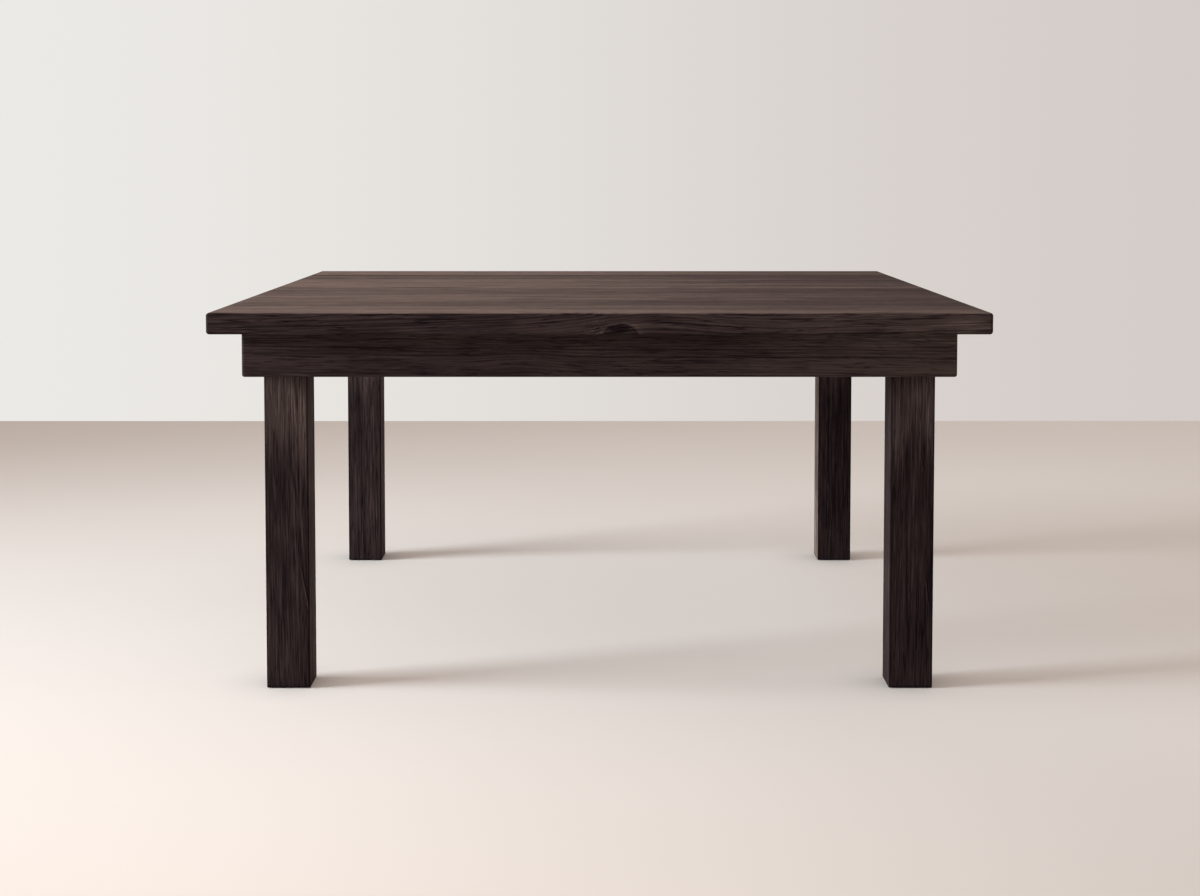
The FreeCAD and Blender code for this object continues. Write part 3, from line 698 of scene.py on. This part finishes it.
def moulded_nylon():
    """Black nylon with a fine moulded texture and scuffs."""
    material, finish = new_material("moulded_nylon")
    place = finish.add("ShaderNodeTexCoord", output="Object")
    skin = finish.noise(place, (1600, 1600, 1600), 6.0)
    scuffs = finish.noise(place, (60, 60, 240), 7.0, detail=4.0).rise(0.55, 0.8)
    nylon = Vector(bpy.context.scene.table_hardware.nylon)
    tint = finish.blend(scuffs * 0.4, (*nylon, 1), (*(nylon * 2.6), 1))
    normal = finish.bump(skin, 0.25, 0.0002)
    finish.surface(Base_Color=tint, Roughness=0.56 + scuffs * 0.2, Specular_IOR_Level=0.25, Normal=normal)
    return material


class TABLE_OT_finish_hardware(bpy.types.Operator):
    """Finishes the splines, fasteners, clips, inserts and levelling feet"""

    bl_idname = "dining_table.finish_hardware"
    bl_label = "Finish the hardware"

    def execute(self, context):
        hardware = context.scene.table_hardware
        finishes = {
            "spline_wood": bare_wood(),
            "zinc_steel": plated_metal("zinc_plate", hardware.zinc, 0.34),
            "insert_brass": plated_metal("turned_brass", hardware.brass, 0.3),
            "pad_nylon": moulded_nylon(),
        }
        for part in frame["record"]["subparts"]:
            if part["material_slot"] in finishes:
                dress(part["node"], finishes[part["material_slot"]])
        return {"FINISHED"}


def turn_thread(mesh, low, high, radius, depth, pitch, ridge):
    """Cuts a right-hand thread round Z; gives the open loops of edges at its low and its high end.

    The ridge is the share of the pitch that the thread's ridge takes at its foot.
    """
    before = set(mesh.verts)
    root, crest = radius - depth, radius
    profile = ((0, root), (1 - ridge, root), (1 - 0.58 * ridge, crest), (1 - 0.42 * ridge, crest), (1, root))
    start = low - 1.5 * pitch
    points = [mesh.verts.new((reach, 0, start + along * pitch)) for along, reach in profile]
    sides = [mesh.edges.new(ends) for ends in zip(points, points[1:])]
    turns = math.ceil((high - low) / pitch + 1.6)
    bmesh.ops.spin(
        mesh, geom=points + sides, axis=(0, 0, 1), dvec=(0, 0, pitch / THREAD_SIDES),
        angle=turns * math.tau, steps=turns * THREAD_SIDES,
    )
    cut = [vert for vert in mesh.verts if vert not in before]
    bmesh.ops.remove_doubles(mesh, verts=cut, dist=SAME_POINT)
    for height, way in ((low, -1), (high, 1)):
        cut = [vert for vert in mesh.verts if vert not in before]
        edges = {edge for vert in cut for edge in vert.link_edges}
        faces = {face for vert in cut for face in vert.link_faces}
        bmesh.ops.bisect_plane(
            mesh, geom=[*cut, *edges, *faces], dist=SAME_POINT, plane_co=(0, 0, height),
            plane_no=(0, 0, way), clear_outer=True,
        )
    return open_loop(mesh, low), open_loop(mesh, high)


def open_loop(mesh, height):
    """The edges at one height that have a face on one side only."""
    return [
        edge for edge in mesh.edges
        if edge.is_boundary and all(abs(vert.co.z - height) < 10 * SAME_POINT for vert in edge.verts)
    ]


def turn_down(mesh, height, way, radius, slope):
    """Tapers what stands round Z towards an end at some height, where the radius is given."""
    for vert in mesh.verts:
        reach = vert.co.xy.length
        most = radius + slope * way * (height - vert.co.z)
        if reach > most:
            vert.co.xy *= most / reach


def new_fastener(name, body, turned, places):
    """One piece with a copy of a turned mesh at each place, smooth but for its sharp edges."""
    mesh = bpy.data.meshes.new(name)
    joined = bmesh.new()
    for place in places:
        turned.to_mesh(mesh)
        mesh.transform(place)
        joined.from_mesh(mesh)
    joined.to_mesh(mesh)
    joined.free()
    mesh.shade_smooth()
    mesh.set_sharp_from_angle(angle=SHARP_EDGE)
    mesh.materials.append(bpy.data.materials["zinc_plate"])
    piece = bpy.data.objects.new(name, mesh)
    bpy.context.scene.collection.objects.link(piece)
    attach(piece, body)
    return piece


class TABLE_OT_turn_hanger_bolts(bpy.types.Operator):
    """Turns the hanger bolts, with a wood thread in the leg and a machine thread for the nut"""

    bl_idname = "dining_table.turn_hanger_bolts"
    bl_label = "Turn the hanger bolts"

    # Radius of a bolt's point, as a share of its thread's depth, and the slope from there to the full width
    POINT_SHARE = 0.25
    POINT_SLOPE = 0.62

    def execute(self, context):
        runs = list(self.runs())
        bolt = self.bolt(context.scene.table_hardware, max(reach for _, reach in runs))
        piece = new_fastener("threaded_hanger_bolts", "table", bolt, [place for place, _ in runs])
        bolt.free()
        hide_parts("hanger_bolts")
        return {"FINISHED"}

    @staticmethod
    def runs():
        """Each bolt's place, from upright on its point, and its length, both from the frame."""
        points = [vert.co for vert in frame["nodes"]["hanger_bolts"].data.vertices]
        for x, y in CORNERS.values():
            turn = Vector((-x, -y, 0)).to_track_quat("Z", "Y").to_matrix()
            near = [point for point in points if point.x * x > 0 and point.y * y > 0]
            middle = sum(point.z for point in near) / len(near)
            for side in (-1, 1):
                local = [turn.transposed() @ point for point in near if (point.z - middle) * side > 0]
                low, high = (Vector(map(pick, zip(*local))) for pick in (min, max))
                point = Matrix.Translation(((low.x + high.x) / 2, (low.y + high.y) / 2, low.z))
                yield turn.to_4x4() @ point, high.z - low.z

    def bolt(self, hardware, reach):
        """One bolt of a given length, upright on its point."""
        mesh = bmesh.new()
        radius = hardware.bolt_width / 2
        collar = hardware.bolt_wood - hardware.bolt_collar
        tip, shoulder = turn_thread(
            mesh, 0, collar, radius, hardware.wood_depth, hardware.wood_pitch, WOOD_RIDGE
        )
        seat, end = turn_thread(
            mesh, hardware.bolt_wood, reach, radius, hardware.thread_depth, hardware.thread_pitch,
            MACHINE_RIDGE,
        )
        bmesh.ops.bridge_loops(mesh, edges=shoulder + seat)
        bmesh.ops.holes_fill(mesh, edges=tip + end)
        turn_down(mesh, 0, -1, self.POINT_SHARE * hardware.thread_depth, self.POINT_SLOPE)
        turn_down(mesh, reach, 1, radius - hardware.thread_pitch, 1.0)
        bmesh.ops.recalc_face_normals(mesh, faces=mesh.faces)
        return mesh


class TABLE_OT_turn_levelling_stems(bpy.types.Operator):
    """Turns the levelling stems, each a threaded stem on a round head that the pad holds"""

    bl_idname = "dining_table.turn_levelling_stems"
    bl_label = "Turn the levelling stems"

    def execute(self, context):
        stem = self.stem(context.scene.table_hardware)
        for corner in CORNERS:
            low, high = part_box(f"leveller_stem_{corner}")
            place = Matrix.Translation(((low.x + high.x) / 2, (low.y + high.y) / 2, 0))
            piece = new_fastener(f"threaded_stem_{corner}", f"stem_{corner}", stem, [place])
            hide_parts(f"leveller_stem_{corner}")
        stem.free()
        return {"FINISHED"}

    @staticmethod
    def stem(hardware):
        """One stem round Z, at the height of the stems in the frame."""
        low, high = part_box("leveller_stem_front_left")
        pad_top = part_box("leveller_pad_front_left")[1].z
        mesh = bmesh.new()
        head_top = low.z + hardware.stem_head
        head, neck = (high.x - low.x) / 2, hardware.stem_neck / 2
        profile = ((0, low.z), (head, low.z), (head, head_top), (neck, head_top), (neck, pad_top))
        points = [mesh.verts.new((reach, 0, height)) for reach, height in profile]
        sides = [mesh.edges.new(ends) for ends in zip(points, points[1:])]
        bmesh.ops.spin(
            mesh, geom=points + sides, axis=(0, 0, 1), angle=math.tau, steps=2 * THREAD_SIDES, use_merge=True
        )
        bmesh.ops.remove_doubles(mesh, verts=mesh.verts, dist=SAME_POINT)
        collar = open_loop(mesh, pad_top)
        thread_low = pad_top + hardware.thread_depth
        radius = hardware.bolt_width / 2
        seat, end = turn_thread(
            mesh, thread_low, high.z, radius, hardware.thread_depth, hardware.thread_pitch, MACHINE_RIDGE
        )
        bmesh.ops.bridge_loops(mesh, edges=collar + seat)
        bmesh.ops.holes_fill(mesh, edges=end)
        turn_down(mesh, high.z, 1, radius - hardware.thread_pitch, 1.0)
        bmesh.ops.recalc_face_normals(mesh, faces=mesh.faces)
        return mesh


class TABLE_OT_set_stage(bpy.types.Operator):
    """Sets the camera, a pale floor and soft light, most of it from the left"""

    bl_idname = "dining_table.set_stage"
    bl_label = "Set the stage"

    # Where each lamp hangs, its width and height, the angle of its beam in degrees, and its colour
    LAMPS = {
        "key": ((-6.6, -1.4, 2.1), (3.0, 3.4), 60, (0.88, 0.96, 1)),
        "fill": ((7.4, -0.4, 0.95), (3.0, 1.5), 40, (1, 0.94, 0.88)),
    }
    LAMP_AIM = Vector((0, 0, 0.9))
    # Colour of the even light
    SKY = (1, 0.88, 0.8, 1)
    # Share of the floor that glows for the camera, how strongly, the radius of its palest spot, which is a
    # painted pool of light, and how near a piece dims it, which is a painted shadow
    GLOW_SHARE = 0.36
    GLOW_STRENGTH = 0.9
    GLOW_SPOT = 0.4
    GLOW_GAP = 0.12
    # The sideways looks, as sines, between which the left background turns into the right one
    WALL_TURN = (-0.34, 0.34)
    SENSOR_WIDTH = 36

    def execute(self, context):
        stage = context.scene.table_stage
        self.set_camera(context.scene, stage)
        self.lay_floor(context.scene, stage)
        self.hang_lights(context.scene, stage)
        self.light_world(context.scene, stage)
        context.scene.view_settings.view_transform = "Standard"
        return {"FINISHED"}

    def set_camera(self, scene, stage):
        camera = bpy.data.objects.new("camera", bpy.data.cameras.new("camera"))
        camera.location = stage.eye
        camera.rotation_euler = (math.radians(90) - stage.lean, 0, 0)
        camera.data.sensor_width = self.SENSOR_WIDTH
        camera.data.lens = stage.lens
        camera.data.shift_y = stage.shift
        scene.collection.objects.link(camera)
        scene.camera = camera

    def lay_floor(self, scene, stage):
        mesh = bpy.data.meshes.new("floor")
        plan = bmesh.new()
        bmesh.ops.create_grid(plan, x_segments=1, y_segments=1, size=stage.floor_reach)
        depth = (stage.floor_reach + stage.floor_back) / (2 * stage.floor_reach)
        bmesh.ops.scale(plan, vec=(1, depth, 1), verts=plan.verts)
        bmesh.ops.translate(plan, vec=(0, (stage.floor_back - stage.floor_reach) / 2, 0), verts=plan.verts)
        plan.to_mesh(mesh)
        plan.free()
        floor = bpy.data.objects.new("floor", mesh)
        scene.collection.objects.link(floor)
        material, finish = new_material("pale_floor")
        place = finish.add("ShaderNodeTexCoord", output="Object")
        clouds = finish.noise(place, (0.8, 0.8, 0.8), 3.0, detail=5.0)
        tone = Vector(stage.floor)
        tint = finish.ramp(clouds, [(0.3, tuple(tone * 0.95)), (0.7, tuple(tone))])
        lit = finish.add("ShaderNodeBsdfDiffuse", {}, {"Color": tint})
        near = {"Distance": self.GLOW_GAP}
        # Painted shadow: the glow darkens close to the table's pieces
        open_sky = finish.add("ShaderNodeAmbientOcclusion", {"samples": 8}, near, output="AO")
        # Painted light: the glow is paler in a pool round the palest spot
        away = finish.vector("DISTANCE", place, stage.glow_middle, output=1)
        palest = 1 - away.rise(self.GLOW_SPOT, stage.glow_reach)
        strength = open_sky * (palest + 1) * self.GLOW_STRENGTH
        scaled = {0: tuple(stage.glow), "Scale": strength}
        glow = finish.add("ShaderNodeVectorMath", {"operation": "SCALE"}, scaled)
        even = finish.add("ShaderNodeEmission", {}, {"Color": glow})
        shader = finish.add("ShaderNodeMixShader", {}, {0: finish.seen() * self.GLOW_SHARE, 1: lit, 2: even})
        finish.add("ShaderNodeOutputMaterial", {}, {"Surface": shader})
        mesh.materials.append(material)
        floor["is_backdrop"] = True

    def hang_lights(self, scene, stage):
        for name, (place, size, beam, tint) in self.LAMPS.items():
            light = bpy.data.lights.new(f"{name}_light", "AREA")
            light.shape = "RECTANGLE"
            light.size, light.size_y = size
            light.energy = getattr(stage, name)
            light.color = tint
            light.spread = math.radians(beam)
            lamp = bpy.data.objects.new(f"{name}_light", light)
            lamp.location = place
            lamp.rotation_euler = (self.LAMP_AIM - lamp.location).to_track_quat("-Z", "Y").to_euler()
            scene.collection.objects.link(lamp)

    def light_world(self, scene, stage):
        world = bpy.data.worlds.new("plain_studio")
        world.use_nodes = True
        scene.world = world
        finish = Finish(world.node_tree)
        way = finish.add("ShaderNodeTexCoord", output="Generated")
        sideways = finish.add("ShaderNodeSeparateXYZ", {}, {"Vector": way}, output="X")
        # Painted light: the background turns from the paler left to the darker right
        turn = sideways.rise(*self.WALL_TURN)
        wall = finish.blend(turn, (*stage.wall_left, 1), (*stage.wall_right, 1))
        backdrop = finish.add("ShaderNodeBackground", {}, {"Color": wall, "Strength": 1.0})
        even = finish.add("ShaderNodeBackground", {}, {"Color": self.SKY, "Strength": stage.ambient})
        shader = finish.add("ShaderNodeMixShader", {}, {0: finish.seen(), 1: even, 2: backdrop})
        finish.add("ShaderNodeOutputWorld", {}, {"Surface": shader})


OPERATORS = (
    TABLE_OT_finish_top,
    TABLE_OT_finish_apron,
    TABLE_OT_finish_legs,
    TABLE_OT_finish_inner_wood,
    TABLE_OT_finish_hardware,
    TABLE_OT_turn_hanger_bolts,
    TABLE_OT_turn_levelling_stems,
    TABLE_OT_set_stage,
)


class TABLE_PT_panel(bpy.types.Panel):
    """The table's sizes, colours and operators"""

    bl_label = "Dining table"
    bl_idname = "TABLE_PT_panel"
    bl_space_type = "VIEW_3D"
    bl_region_type = "UI"
    bl_category = "Dining table"

    def draw(self, context):
        for group in (context.scene.table_wood, context.scene.table_hardware, context.scene.table_stage):
            column = self.layout.column()
            for name in group.__annotations__:
                column.prop(group, name)
        for operator in OPERATORS:
            self.layout.operator(operator.bl_idname)


GROUPS = {"table_wood": StainedWood, "table_hardware": Hardware, "table_stage": Stage}
CLASSES = (*GROUPS.values(), *OPERATORS, TABLE_PT_panel)


def register():
    for kind in CLASSES:
        bpy.utils.register_class(kind)
    for name, group in GROUPS.items():
        setattr(bpy.types.Scene, name, PointerProperty(type=group))


def unregister():
    for name in GROUPS:
        delattr(bpy.types.Scene, name)
    for kind in reversed(CLASSES):
        bpy.utils.unregister_class(kind)


def main():
    register()
    bpy.ops.dining_table.finish_top()
    bpy.ops.dining_table.finish_apron()
    bpy.ops.dining_table.finish_legs()
    bpy.ops.dining_table.finish_inner_wood()
    bpy.ops.dining_table.finish_hardware()
    bpy.ops.dining_table.turn_hanger_bolts()
    bpy.ops.dining_table.turn_levelling_stems()
    bpy.ops.dining_table.set_stage()
    boxes = {"cad": CAD_BOX, "visual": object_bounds()}
    {name: [list(corner) for corner in box] for name, box in boxes.items()}


if __name__ == "__main__":
    main()
